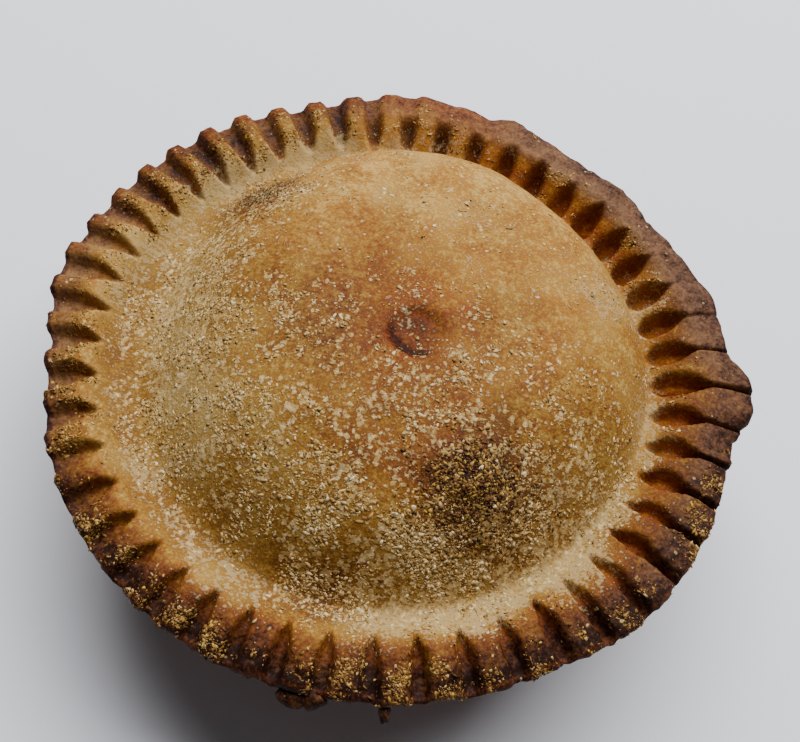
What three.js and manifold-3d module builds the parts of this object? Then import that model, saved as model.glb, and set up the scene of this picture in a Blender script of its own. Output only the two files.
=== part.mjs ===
// A single-serve meat and potato pie with a crimped rim and a puffed lid.
// Millimetres and degrees, +Z up. The origin is the middle of the flat base.
//
// The pie is one solid. A profile is spun round the Z axis, and every point of it is
// then moved by the functions below: crimps, torn flange, trough, lid and vent.
// Scraps of baked-on pastry that hang under the rim are joined to it at the end.
import * as THREE from "three";
import { mergeVertices } from "three/addons/utils/BufferGeometryUtils.js";
import Module from "manifold-3d";

// Overall sizes.
const RIM_RADIUS = 52;
const RIM_HEIGHT = 28;
const RIM_THICKNESS = 3.3;
const BASE_RADIUS = 37.5;
const NECK_RADIUS = 46;
const NECK_HEIGHT = RIM_HEIGHT - RIM_THICKNESS - 1.3;
const LID_RISE = 12.6;
const LID_FOOT_RADIUS = 39.6;
const TROUGH_DEPTH = 3.4;

// The rim's top: a bank up from the trough, a fall towards the edge and a slow wave.
const BANK = { innerRadius: 39.8, outerRadius: 45.8 };
const OUTER_FALL = { radius: 46, reach: 6 };
const RIM_WAVE = { height: 0.3, turns: 3, phase: 40 };
const EDGE_SAG = 0.35;

// The crimps: radial dents pressed by a toothed ring, four columns of points to each.
const CRIMPS = 49;
const COLUMNS_PER_CRIMP = 4;
const COLUMNS = CRIMPS * COLUMNS_PER_CRIMP;
const FIRST_CRIMP = 4.5;
const CRIMP_INNER_RADIUS = 41.2;
const CRIMP_FULL_RADIUS = 43.9;
const CRIMP_DEPTH = 2.1;

// A dent's section, in shares of a crimp from its deepest line: a flat floor, then a
// flank up to the crest of the ridge.
const DENT = { floor: 0.14, crest: 0.36, width: 0.7, innerShare: 0.3 };
const TAPER = { innerRadius: 41.6, outerRadius: 46.4, pocketRadius: 43.4 };

// On the left the dents are broad. On the right they are deep pockets, which close
// into splits towards the edge. At the back the swollen lid pushes their ends out.
const BROAD_CRIMPS = { at: 160, half: 62, wider: 0.3 };
const POCKETS = { at: 30, half: 52, wider: 0.4, deeper: 1.1 };
const CLOSING = { at: 20, half: 56, innerRadius: 44.9, outerRadius: 48.8, share: 0.88 };
const PUSHED_OUT = { at: 102, half: 24, by: 1.3 };

// No two dents are pressed alike, and no two ridges stand equally high.
const PRESS_UNEVENNESS = 0.3;
const RIDGE_UNEVENNESS = 0.5;

// Towards the edge the dents get a little shallower.
const CRIMP_FADE = { innerRadius: 47, outerRadius: 50.5, share: 0.15 };

// The toothed ring went on out of true: its middle lies off to one side, and the dents
// drift a little round the rim.
const RING_SHIFT = { at: 237, by: 2.1 };
const CRIMP_DRIFTS = [
  { turns: 1, by: 1.91, phase: -73 },
  { turns: 2, by: 0.68, phase: -107 },
  { turns: 3, by: 0.75, phase: 151 },
  { turns: 4, by: 0.38, phase: -68 },
  { turns: 5, by: 0.22, phase: 62 },
];

// Where the rim's outline stands out or falls short of a true circle.
const EDGE_SWELLS = [
  { at: 1.2, half: 5.2, out: 3, power: 4 },
  { at: 8, half: 20, out: 1.1, power: 4 },
  { at: 20.5, half: 3, out: 0.8, power: 2 },
  { at: 30, half: 7, out: -0.5, power: 2 },
  { at: 39, half: 3, out: -0.8, power: 2 },
  { at: 58, half: 8, out: -0.7, power: 2 },
  { at: 73, half: 3, out: 1.1, power: 2 },
  { at: 77.6, half: 1.3, out: -0.9, power: 2 },
  { at: 94, half: 9, out: 1.1, power: 2 },
  { at: 150, half: 24, out: 1.1, power: 4 },
  { at: 177, half: 8, out: 1.3, power: 2 },
  { at: 192, half: 14, out: -1.1, power: 2 },
  { at: 226, half: 18, out: -0.4, power: 2 },
  { at: 327, half: 18, out: 1.45, power: 4 },
];

// How far each dent pulls the outline in, at the places where it does.
const EDGE_SCALLOPS = [
  { at: 146, half: 44, depth: 0.75 },
  { at: 212, half: 30, depth: 0.25 },
  { at: 300, half: 45, depth: 0.2 },
];

// The smooth flange outside the pockets. Its two radii are measured from the middle of
// the toothed ring.
const FLANGE = { at: 54, half: 46, innerRadius: 46.5, outerRadius: 48.8, rise: 0.6 };

// The lid leans towards one side, where its shoulder is steep. On the other side it runs
// out gently into the trough. Its foot is not a true circle either.
const LID_LEAN = { at: 55, half: 55 };
const GENTLE_SIDE = { at: 176, half: 42, softening: 0.5 };
const FOOT_SWELLS = [
  { at: 8, half: 20, out: 0.8, power: 2 },
  { at: 90, half: 24, out: 1.8, power: 4 },
  { at: 176, half: 42, out: -2, power: 2 },
];
const SHOULDER = { soft: 4, steep: 2.2, roundness: 1.3, sharpening: 0.46 };

// The steam vent: a dish with a raised lip, and a crack along the dish's near edge.
const VENT = { x: 3.7, y: -2.3, radius: 4.3, flat: 2.4, depth: 0.7 };
const VENT_LIP = { radius: 5.6, width: 1.8, height: 0.15 };
const VENT_CRACK = { radius: 3.9, width: 0.8, depth: 0.9, at: 240, half: 55 };

// Bulges of the lid: a toasted lump, two crusty patches and the fuller lower half.
const BULGES = [
  { x: 14, y: -24, radius: 6.2, height: 0.95 },
  { x: -24, y: 23.5, radius: 5, height: 0.6 },
  { x: 31, y: 11.6, radius: 3.6, height: 0.45 },
  { x: -12, y: -16, radius: 12, height: 0.5 },
  { x: 3, y: -20, radius: 5.5, height: -0.45 },
];
const RANDOM_BULGES = 14;
const RANDOM_BULGE = { reach: 31, smallest: 4, largest: 9, height: 0.42 };
const BULGE_LIMIT = { innerRadius: 33, outerRadius: 40 };

// Soft vertical flutes that the baking case left in the side.
const FLUTE_DEPTH = 0.3;

// Scraps of pastry under the near edge: where, how far out, and half-sizes.
const SCRAPS = [
  { at: 264.5, radius: 52.1, along: 2.1, out: 1.5, down: 1.3 },
  { at: 267.6, radius: 51.6, along: 1.7, out: 1.6, down: 1.5 },
  { at: 277.6, radius: 52.4, along: 0.8, out: 1.7, down: 1 },
];
const SCRAP_ROUGHNESS = 0.22;
const SCRAP_HEIGHT = RIM_HEIGHT - RIM_THICKNESS;

// Turns a corner of a rough ball into a whole number of its own.
const CORNER_CODE = new THREE.Vector3(40, 90, 170);

// The powers of a hump with a broad top and of one with a flat top.
const BROAD_TOP = 4;
const FLAT_TOP = 8;

const CRUST = { color: 0xb88a52, roughness: 0.75, metalness: 0 };

const MERGE_DISTANCE = 1e-3;

const wasm = await Module();
wasm.setup();

// The same seemingly random number between 0 and 1 for the same whole number.
function chance(seed) {
  const turned = Math.sin(seed * 127.1) * 43758.5453;
  return turned - Math.floor(turned);
}

function radians(degrees) {
  return (degrees * Math.PI) / 180;
}

// The angle from one direction to another, from -180 to 180 degrees.
function turnBetween(from, to) {
  return ((((to - from) % 360) + 540) % 360) - 180;
}

// A hump round a direction: 1 there, one half at half degrees from it.
function hump(angle, at, half, power = 2) {
  const away = Math.abs(turnBetween(at, angle)) / half;
  return Math.pow(0.5, Math.pow(away, power));
}

// How far a column is from the middle of its dent, in crimps, from -0.5 to 0.5.
function fromDent(column) {
  const crimps = column / COLUMNS_PER_CRIMP;
  return crimps - Math.round(crimps);
}

// A column's direction, with the crimps' drift.
function columnAngle(column) {
  const turn = (360 * column) / COLUMNS;
  let angle = FIRST_CRIMP + turn;
  for (const drift of CRIMP_DRIFTS) {
    angle += drift.by * Math.sin(radians(drift.turns * turn + drift.phase));
  }
  return angle;
}

// A radius measured from the middle of the toothed ring.
function ringRadius(radius, angle) {
  return radius - RING_SHIFT.by * Math.cos(radians(angle - RING_SHIFT.at));
}

// How far an outline stands out in a direction.
function swelling(swells, angle) {
  let out = 0;
  for (const swell of swells) {
    out += swell.out * hump(angle, swell.at, swell.half, swell.power);
  }
  return out;
}

// How wide a dent is at a place: narrow at its inner end, and closed where it is a split.
function dentWidth(fromRing, angle) {
  const pocket = hump(angle, POCKETS.at, POCKETS.half, BROAD_TOP);
  const broad = hump(angle, BROAD_CRIMPS.at, BROAD_CRIMPS.half, BROAD_TOP);
  const full = DENT.width + BROAD_CRIMPS.wider * broad + POCKETS.wider * pocket;
  const fullRadius = THREE.MathUtils.lerp(TAPER.outerRadius, TAPER.pocketRadius, pocket);
  const opened = THREE.MathUtils.smoothstep(fromRing, TAPER.innerRadius, fullRadius);
  const opening = THREE.MathUtils.lerp(DENT.innerShare, 1, opened);
  const past = THREE.MathUtils.smoothstep(fromRing, CLOSING.innerRadius, CLOSING.outerRadius);
  const closed = past * hump(angle, CLOSING.at, CLOSING.half, BROAD_TOP);
  return full * opening * (1 - CLOSING.share * closed);
}

// The section across a dent: 1 on its floor and 0 on the ridges beside it.
function dentSection(column, width) {
  const away = Math.abs(fromDent(column)) / width;
  return 1 - THREE.MathUtils.smoothstep(away, DENT.floor, DENT.crest);
}

function edgeRadius(angle, column) {
  const section = dentSection(column, 1);
  let radius = RIM_RADIUS + swelling(EDGE_SWELLS, angle);
  for (const scallop of EDGE_SCALLOPS) {
    radius -= scallop.depth * hump(angle, scallop.at, scallop.half, BROAD_TOP) * section;
  }
  return radius;
}

// How far the rim's top lies below its full height: dents, less the flange's rise.
function crimpFall(radius, angle, column) {
  const fromRing = ringRadius(radius, angle);
  const crimp = column / COLUMNS_PER_CRIMP;
  const pushed = hump(angle, PUSHED_OUT.at, PUSHED_OUT.half, BROAD_TOP);
  const start = fromRing - PUSHED_OUT.by * pushed;
  const inner = THREE.MathUtils.smoothstep(start, CRIMP_INNER_RADIUS, CRIMP_FULL_RADIUS);
  const past = THREE.MathUtils.smoothstep(fromRing, CRIMP_FADE.innerRadius, CRIMP_FADE.outerRadius);
  const out = THREE.MathUtils.smoothstep(fromRing, FLANGE.innerRadius, FLANGE.outerRadius);
  const flange = out * hump(angle, FLANGE.at, FLANGE.half, FLAT_TOP);
  const section = dentSection(column, dentWidth(fromRing, angle));
  const press = 1 + PRESS_UNEVENNESS * (chance(Math.round(crimp)) - 0.5);
  const ridge = RIDGE_UNEVENNESS * (chance(Math.floor(crimp) + CRIMPS) - 0.5);
  const pocket = hump(angle, POCKETS.at, POCKETS.half, BROAD_TOP);
  const depth = CRIMP_DEPTH * press + POCKETS.deeper * pocket;
  const left = (1 - CRIMP_FADE.share * past) * (1 - flange);
  return inner * (depth * section * left - ridge * (1 - section)) - FLANGE.rise * flange;
}

function lidHeight(radius, angle) {
  const lean = hump(angle, LID_LEAN.at, LID_LEAN.half);
  const gentle = hump(angle, GENTLE_SIDE.at, GENTLE_SIDE.half);
  const foot = LID_FOOT_RADIUS + swelling(FOOT_SWELLS, angle);
  if (radius >= foot) {
    return 0;
  }
  const fall = Math.pow(radius / foot, SHOULDER.soft + SHOULDER.steep * lean);
  const roundness = SHOULDER.roundness - SHOULDER.sharpening * lean + GENTLE_SIDE.softening * gentle;
  return LID_RISE * Math.pow(1 - fall, roundness);
}

function bulge(x, y, at) {
  const away = Math.hypot(x - at.x, y - at.y) / at.radius;
  return at.height * Math.exp(-away * away);
}

function randomBulges() {
  const bulges = [];
  for (let i = 0; i < RANDOM_BULGES; i += 1) {
    const angle = 2 * Math.PI * chance(7 * i + 1);
    const reach = RANDOM_BULGE.reach * Math.sqrt(chance(7 * i + 2));
    const size = THREE.MathUtils.lerp(RANDOM_BULGE.smallest, RANDOM_BULGE.largest, chance(7 * i + 3));
    const height = RANDOM_BULGE.height * (2 * chance(7 * i + 4) - 1);
    bulges.push({ x: reach * Math.cos(angle), y: reach * Math.sin(angle), radius: size, height });
  }
  return bulges;
}

const LID_BULGES = [...BULGES, ...randomBulges()];

// A ring-shaped swelling, 1 at its radius and less on both sides.
function ringSwell(away, ring) {
  return Math.exp(-Math.pow((away - ring.radius) / ring.width, 2));
}

function ventHeight(x, y) {
  const away = Math.hypot(x - VENT.x, y - VENT.y);
  const angle = THREE.MathUtils.radToDeg(Math.atan2(y - VENT.y, x - VENT.x));
  const dish = 1 - THREE.MathUtils.smoothstep(away, VENT.flat, VENT.radius);
  const crack = ringSwell(away, VENT_CRACK) * hump(angle, VENT_CRACK.at, VENT_CRACK.half, BROAD_TOP);
  return VENT_LIP.height * ringSwell(away, VENT_LIP) - VENT.depth * dish - VENT_CRACK.depth * crack;
}

// The height of the pie's upper face over its base.
function topHeight(radius, angle, column) {
  const x = radius * Math.cos(radians(angle));
  const y = radius * Math.sin(radians(angle));
  const bank = THREE.MathUtils.smoothstep(radius, BANK.innerRadius, BANK.outerRadius);
  const outerFall = Math.pow(Math.max(0, radius - OUTER_FALL.radius) / OUTER_FALL.reach, 2);
  const turned = Math.sin(radians(RIM_WAVE.turns * angle + RIM_WAVE.phase));
  const wave = (RIM_WAVE.height * turned * radius) / RIM_RADIUS;
  const inside = 1 - THREE.MathUtils.smoothstep(radius, BULGE_LIMIT.innerRadius, BULGE_LIMIT.outerRadius);
  let height = RIM_HEIGHT + wave - TROUGH_DEPTH * (1 - bank) - outerFall;
  height += lidHeight(radius, angle) - crimpFall(radius, angle, column);
  for (const at of LID_BULGES) {
    height += inside * bulge(x, y, at);
  }
  return height + ventHeight(x, y);
}

// Radii of the rings on the upper face, from the middle of the lid out to the rim.
const TOP_RINGS = [0, 3, 5.6, 8.5, 13, 19, 25, 30.5, 34.6, 37.6, 39.6, 41.6, 44, 46.6, 49, 50.9];

// The rest of the profile, from the rim's edge round its underside to the base.
const EDGE_RINGS = [
  { radius: RIM_RADIUS, height: RIM_HEIGHT - 0.55 * RIM_THICKNESS },
  { radius: RIM_RADIUS - 0.7, height: RIM_HEIGHT - RIM_THICKNESS - 0.5 },
];
const WALL_RINGS = [
  { radius: NECK_RADIUS, height: NECK_HEIGHT },
  { radius: BASE_RADIUS + 4.6, height: 0.45 * RIM_HEIGHT },
  { radius: BASE_RADIUS + 0.4, height: 2.4 },
];
const BASE_RINGS = [
  { radius: BASE_RADIUS - 1.8, height: 0 },
  { radius: 0, height: 0 },
];

function inZone(zone, rings) {
  return rings.map((ring) => ({ ...ring, zone }));
}

// The profile runs from the middle of the base, up the side and over the top.
function pieProfile() {
  const down = [
    ...TOP_RINGS.map((radius) => ({ radius, height: RIM_HEIGHT, zone: "top" })),
    ...inZone("edge", EDGE_RINGS),
    ...inZone("wall", WALL_RINGS),
    ...inZone("base", BASE_RINGS),
  ];
  return down.reverse();
}

function wallPoint(ring, column) {
  const flute = FLUTE_DEPTH * Math.cos((2 * Math.PI * column) / COLUMNS_PER_CRIMP);
  return { radius: ring.radius + flute, height: ring.height };
}

// The rim's edge hangs from the upper face, so it follows the crimps and the flange.
function edgePoint(ring, angle, column) {
  const top = topHeight(TOP_RINGS.at(-1), angle, column);
  const sag = EDGE_SAG * (RIM_HEIGHT - top);
  const stretch = edgeRadius(angle, column) - RIM_RADIUS;
  return { radius: ring.radius + stretch, height: ring.height - sag };
}

function topPoint(ring, angle, column) {
  const share = THREE.MathUtils.smoothstep(ring.radius, CRIMP_INNER_RADIUS, RIM_RADIUS);
  const stretch = (edgeRadius(angle, column) - RIM_RADIUS) * share;
  return { radius: ring.radius + stretch, height: topHeight(ring.radius, angle, column) };
}

function surfacePoint(ring, angle, column) {
  if (ring.zone === "top") {
    return topPoint(ring, angle, column);
  }
  if (ring.zone === "edge") {
    return edgePoint(ring, angle, column);
  }
  if (ring.zone === "wall") {
    return wallPoint(ring, column);
  }
  return ring;
}

// Spins the profile, then moves each of its points to the pie's surface.
function crustGeometry() {
  const rings = pieProfile();
  const outline = rings.map((ring) => new THREE.Vector2(ring.radius, ring.height));
  const geometry = new THREE.LatheGeometry(outline, COLUMNS);
  const place = geometry.attributes.position;
  for (let i = 0; i < place.count; i += 1) {
    const ring = rings[i % rings.length];
    const column = Math.floor(i / rings.length) % COLUMNS;
    const angle = columnAngle(column);
    const point = surfacePoint(ring, angle, column);
    const turned = radians(angle);
    place.setXYZ(i, point.radius * Math.cos(turned), point.radius * Math.sin(turned), point.height);
  }
  return geometry;
}

// A rough crumb of pastry: a rounded ball with its corners pushed in and out.
function scrapGeometry(scrap, seed) {
  const geometry = bareGeometry(new THREE.IcosahedronGeometry(1, 1));
  const place = geometry.attributes.position;
  const angle = radians(scrap.at);
  for (let i = 0; i < place.count; i += 1) {
    const corner = new THREE.Vector3().fromBufferAttribute(place, i);
    const code = Math.round(corner.dot(CORNER_CODE));
    const rough = 1 + SCRAP_ROUGHNESS * (2 * chance(code + 31 * seed) - 1);
    const out = scrap.radius + scrap.out * rough * corner.x;
    const along = scrap.along * rough * corner.y;
    const x = out * Math.cos(angle) - along * Math.sin(angle);
    const y = out * Math.sin(angle) + along * Math.cos(angle);
    place.setXYZ(i, x, y, SCRAP_HEIGHT + scrap.down * rough * corner.z);
  }
  return geometry;
}

// Keeps only the points of a geometry and merges those that coincide.
function bareGeometry(geometry) {
  geometry.deleteAttribute("normal");
  geometry.deleteAttribute("uv");
  return mergeVertices(geometry, MERGE_DISTANCE);
}

function toSolid(geometry) {
  const merged = bareGeometry(geometry);
  const vertProperties = new Float32Array(merged.attributes.position.array);
  const corners = merged.index.array;
  const triangles = [];
  for (let i = 0; i < corners.length; i += 3) {
    const [a, b, c] = corners.slice(i, i + 3);
    if (a !== b && b !== c && c !== a) {
      triangles.push(a, b, c);
    }
  }
  const triVerts = new Uint32Array(triangles);
  return new wasm.Manifold(new wasm.Mesh({ numProp: 3, vertProperties, triVerts }));
}

function toGeometry(solid) {
  const mesh = solid.getMesh();
  const geometry = new THREE.BufferGeometry();
  geometry.setAttribute("position", new THREE.BufferAttribute(new Float32Array(mesh.vertProperties), 3));
  geometry.setIndex(new THREE.BufferAttribute(new Uint32Array(mesh.triVerts), 1));
  geometry.computeVertexNormals();
  return geometry;
}

function makePie() {
  let solid = toSolid(crustGeometry());
  SCRAPS.forEach((scrap, seed) => {
    solid = solid.add(toSolid(scrapGeometry(scrap, seed)));
  });
  const material = new THREE.MeshStandardMaterial(CRUST);
  const pie = new THREE.Mesh(toGeometry(solid), material);
  pie.name = "pie";
  return pie;
}

const group = new THREE.Group();
group.add(makePie());

export default group;
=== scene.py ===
# %% [markdown]
# # A meat and potato pie
#
# The real thing is a single-serve pie: a pastry case with a lid pressed on by a toothed
# ring, dusted with coarse semolina and baked until the rim is dark brown. The solid that
# is loaded here holds its measured form. This lesson dresses it: a finer crust over the
# same form, thousands of grains, a baked finish, and a soft daylight to see it by.

# %% Load the measured solid
import math
import bmesh
import bpy
import numpy as np
from mathutils import Matrix, Vector
from mathutils.kdtree import KDTree


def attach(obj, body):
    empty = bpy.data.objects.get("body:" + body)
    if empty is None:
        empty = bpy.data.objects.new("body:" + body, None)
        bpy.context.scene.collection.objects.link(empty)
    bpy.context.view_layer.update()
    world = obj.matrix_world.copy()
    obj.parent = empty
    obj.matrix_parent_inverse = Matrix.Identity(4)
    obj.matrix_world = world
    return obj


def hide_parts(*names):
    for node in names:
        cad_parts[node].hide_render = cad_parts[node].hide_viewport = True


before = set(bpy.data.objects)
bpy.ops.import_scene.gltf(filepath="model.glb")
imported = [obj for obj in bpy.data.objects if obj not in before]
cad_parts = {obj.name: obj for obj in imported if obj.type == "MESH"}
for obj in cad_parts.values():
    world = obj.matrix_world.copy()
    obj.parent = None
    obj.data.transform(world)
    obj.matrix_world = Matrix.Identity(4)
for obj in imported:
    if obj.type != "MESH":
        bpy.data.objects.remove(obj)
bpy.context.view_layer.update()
MM = 0.001

# %% [markdown]
# ## The sizes of the pie
#
# A pie is round, so its form is easiest to say as distances from the middle and turns
# round it. These are the same sizes, in millimetres and degrees, that the solid was
# made from. A turn of 0 points right and turns grow anticlockwise, seen from above.

# %% Overall sizes
RIM_RADIUS = 52.0
RIM_HEIGHT = 28.0
RIM_THICKNESS = 3.3
BASE_RADIUS = 37.5
NECK_RADIUS = 46.0
NECK_HEIGHT = RIM_HEIGHT - RIM_THICKNESS - 1.3
LID_RISE = 12.6
LID_FOOT_RADIUS = 39.6
TROUGH_DEPTH = 3.4
BANK_INNER, BANK_OUTER = 39.8, 45.8
FALL_RADIUS, FALL_REACH = 46, 6
WAVE_HEIGHT, WAVE_TURNS, WAVE_PHASE = 0.3, 3, 40
EDGE_SAG = 0.35
TOP_EDGE_RADIUS = 50.9
FLUTE_DEPTH = 0.3

# %% [markdown]
# The rim was pressed by a toothed ring, 49 teeth round. On the upper left its dents are
# broad with flat floors, on the right they are deep pockets that close into splits, and
# beyond those the rim is a smooth flange, because the ring sat a little too far in.

# %% Sizes of the crimps and of the rim's outline
CRIMPS = 49
FIRST_CRIMP = 4.5
CRIMP_INNER, CRIMP_FULL = 41.2, 43.9
CRIMP_DEPTH = 2.1
DENT_FLOOR, DENT_CREST, DENT_WIDTH, DENT_INNER_SHARE = 0.14, 0.36, 0.7, 0.3
TAPER_INNER, TAPER_OUTER, TAPER_POCKET = 41.6, 46.4, 43.4
BROAD_AT, BROAD_HALF, BROAD_WIDER = 160, 62, 0.3
POCKETS_AT, POCKETS_HALF, POCKETS_WIDER, POCKETS_DEEPER = 30, 52, 0.4, 1.1
CLOSING_AT, CLOSING_HALF, CLOSING_INNER, CLOSING_OUTER, CLOSING_SHARE = 20, 56, 44.9, 48.8, 0.88
PUSHED_AT, PUSHED_HALF, PUSHED_OUT = 102, 24, 1.3
PRESS_UNEVENNESS, RIDGE_UNEVENNESS = 0.3, 0.5
FADE_INNER, FADE_OUTER, FADE_SHARE = 47, 50.5, 0.15
RING_SHIFT_AT, RING_SHIFT = 237, 2.1
# How the crimps drift along the rim: waves round it, degrees, and phase
CRIMP_DRIFTS = [(1, 1.91, -73), (2, 0.68, -107), (3, 0.75, 151), (4, 0.38, -68), (5, 0.22, 62)]
# Where the outline swells: turn, half-width, millimetres outwards, and power
EDGE_SWELLS = [(1.2, 5.2, 3.0, 4), (8, 20, 1.1, 4), (20.5, 3, 0.8, 2), (30, 7, -0.5, 2), (39, 3, -0.8, 2),
               (58, 8, -0.7, 2), (73, 3, 1.1, 2), (77.6, 1.3, -0.9, 2), (94, 9, 1.1, 2), (150, 24, 1.1, 4),
               (177, 8, 1.3, 2), (192, 14, -1.1, 2), (226, 18, -0.4, 2), (327, 18, 1.45, 4)]
# Where the dents notch it: turn, half-width and depth
EDGE_SCALLOPS = [(146, 44, 0.75), (212, 30, 0.25), (300, 45, 0.2)]
FLANGE_AT, FLANGE_HALF, FLANGE_POWER, FLANGE_RISE = 54, 46, 8, 0.6
FLANGE_INNER, FLANGE_OUTER = 46.5, 48.8

# %% Sizes of the lid, the vent and the bulges
LEAN_AT, LEAN_HALF = 55, 55
GENTLE_AT, GENTLE_HALF, GENTLE_SOFTENING = 176, 42, 0.5
FOOT_SWELLS = [(8, 20, 0.8, 2), (90, 24, 1.8, 4), (176, 42, -2, 2)]
SHOULDER_SOFT, SHOULDER_STEEP = 4.0, 2.2
SHOULDER_ROUNDNESS, SHOULDER_SHARPENING = 1.3, 0.46

VENT_X, VENT_Y, VENT_RADIUS, VENT_FLAT, VENT_DEPTH = 3.7, -2.3, 4.3, 2.4, 0.7
LIP_RADIUS, LIP_WIDTH, LIP_HEIGHT = 5.6, 1.8, 0.15
CRACK_RADIUS, CRACK_WIDTH, CRACK_DEPTH, CRACK_AT, CRACK_HALF = 3.9, 0.8, 0.9, 240, 55
BARE_RADIUS, FLOURY_RADIUS = 4.2, 5.6

# Bulges of the lid: middle x and y, reach and height
TOASTED_LUMP = (14, -24, 6.2, 0.95)
FLAKY_PATCH = (-24, 23.5, 5.0, 0.6)
DRY_PATCH = (31, 11.6, 3.6, 0.45)
NEAR_SWELL, NEAR_DIP = (-12, -16, 12, 0.5), (3, -20, 5.5, -0.45)
BULGES = [TOASTED_LUMP, FLAKY_PATCH, DRY_PATCH, NEAR_SWELL, NEAR_DIP]
RANDOM_BULGES = 14
BULGE_REACH, BULGE_SMALLEST, BULGE_LARGEST, BULGE_HEIGHT = 31, 4, 9, 0.42
BULGE_LIMIT_INNER, BULGE_LIMIT_OUTER = 33, 40

# %% [markdown]
# ## Small helpers for uneven shapes
#
# Nothing baked is even. A few helpers give all of it: a number that looks random but is
# always the same, a soft step, a hump round one direction, a spot round one place, and
# smooth noise. A form or a colour is then a list of humps or spots with their amounts.

# %% Random numbers, steps, humps and noise
FLAT_TOP = 4


def chance(seed):
    turned = np.sin(np.asarray(seed, float) * 127.1) * 43758.5453
    return turned - np.floor(turned)


def smoothstep(x, low, high):
    t = np.clip((x - low) / (high - low), 0, 1)
    return t * t * (3 - 2 * t)


def hump(angle, at, half, power=2):
    """1 at one turn, a half at `half` degrees from it. A higher power flattens the top."""
    away = np.abs((angle - at + 180) % 360 - 180) / half
    return 0.5 ** (away ** power)


def plateau(angle, at, half):
    return hump(angle, at, half, FLAT_TOP)


def band(x, low, high, soft):
    """1 between two levels, with soft ends."""
    return smoothstep(x, low - soft, low + soft) * (1 - smoothstep(x, high - soft, high + soft))


def spot(x, y, middle_x, middle_y, radius):
    return np.exp(-((x - middle_x) ** 2 + (y - middle_y) ** 2) / radius ** 2)


def ripple(x, y, size, seed):
    """Smooth noise from -1 to 1 with hills about `size` apart."""
    u, v = x / size + 31.7 * seed, y / size - 17.3 * seed
    i, j = np.floor(u), np.floor(v)
    a, b = smoothstep(u - i, 0, 1), smoothstep(v - j, 0, 1)
    low = chance(i + 57 * j) * (1 - a) + chance(i + 1 + 57 * j) * a
    high = chance(i + 57 * (j + 1)) * (1 - a) + chance(i + 1 + 57 * (j + 1)) * a
    return 2 * (low * (1 - b) + high * b) - 1


# %% Sums of many humps or spots
def arcs(places, angle):
    """Each place is a turn, a half-width, an amount and the power of its hump."""
    return sum(amount * hump(angle, at, half, power) for at, half, amount, power in places)


def patches(places, x, y):
    """Each place is a middle x and y, a reach and an amount."""
    return sum(amount * spot(x, y, *place) for *place, amount in places)


def regions(places, radius, angle):
    """Each place is an arc between two distances from the middle, with soft ends."""
    return sum(amount * hump(angle, at, half, power) * band(radius, low, high, soft)
               for at, half, amount, power, low, high, soft in places)


# %% [markdown]
# ## The form of the rim
#
# One dent is a section across and a depth along. The section says how flat its floor is
# and how wide it still is where it closes into a split. A crimp's place is its phase: a
# whole number in the middle of a dent, a half on the ridge between two.

# %% Where the dents lie
def crimp_angle(turn):
    angle = FIRST_CRIMP + turn
    for turns, by, phase in CRIMP_DRIFTS:
        angle = angle + by * np.sin(np.radians(turns * turn + phase))
    return angle


def ring_radius(radius, angle):
    """Distance from the middle of the toothed ring, which sat off to one side."""
    return radius - RING_SHIFT * np.cos(np.radians(angle - RING_SHIFT_AT))


def dent_width(from_ring, angle):
    """Narrow at a dent's inner end, and closed where it is a split."""
    pocket = plateau(angle, POCKETS_AT, POCKETS_HALF)
    full = DENT_WIDTH + BROAD_WIDER * plateau(angle, BROAD_AT, BROAD_HALF) + POCKETS_WIDER * pocket
    opened = smoothstep(from_ring, TAPER_INNER, TAPER_OUTER + (TAPER_POCKET - TAPER_OUTER) * pocket)
    closed = smoothstep(from_ring, CLOSING_INNER, CLOSING_OUTER) * plateau(angle, CLOSING_AT, CLOSING_HALF)
    return full * (DENT_INNER_SHARE + (1 - DENT_INNER_SHARE) * opened) * (1 - CLOSING_SHARE * closed)


def dent_section(phase, width):
    """1 on the floor of a dent and 0 on the ridges beside it."""
    away = np.abs(phase - np.round(phase)) / width
    return 1 - smoothstep(away, DENT_FLOOR, DENT_CREST)


# %% The rim's outline and how deep the dents are
def edge_radius(angle, phase):
    section = dent_section(phase, 1)
    radius = RIM_RADIUS + arcs(EDGE_SWELLS, angle)
    for at, half, depth in EDGE_SCALLOPS:
        radius = radius - depth * plateau(angle, at, half) * section
    return radius


def along_flange(angle):
    return hump(angle, FLANGE_AT, FLANGE_HALF, FLANGE_POWER)


def flange_share(from_ring, angle):
    return smoothstep(from_ring, FLANGE_INNER, FLANGE_OUTER) * along_flange(angle)


def crimp_fall(radius, angle, phase):
    from_ring = ring_radius(radius, angle)
    start = from_ring - PUSHED_OUT * plateau(angle, PUSHED_AT, PUSHED_HALF)
    inner = smoothstep(start, CRIMP_INNER, CRIMP_FULL)
    past = smoothstep(from_ring, FADE_INNER, FADE_OUTER)
    flange = flange_share(from_ring, angle)
    section = dent_section(phase, dent_width(from_ring, angle))
    press = 1 + PRESS_UNEVENNESS * (chance(np.round(phase)) - 0.5)
    ridge = RIDGE_UNEVENNESS * (chance(np.floor(phase) + CRIMPS) - 0.5)
    depth = CRIMP_DEPTH * press + POCKETS_DEEPER * plateau(angle, POCKETS_AT, POCKETS_HALF)
    left = (1 - FADE_SHARE * past) * (1 - flange)
    return inner * (depth * section * left - ridge * (1 - section)) - FLANGE_RISE * flange


# %% [markdown]
# ## The form of the lid
#
# Steam has puffed the lid, more so towards the upper right, where its shoulder is steep
# and hides the trough. The vent is a small sunken disc that has cracked along one edge.

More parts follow.
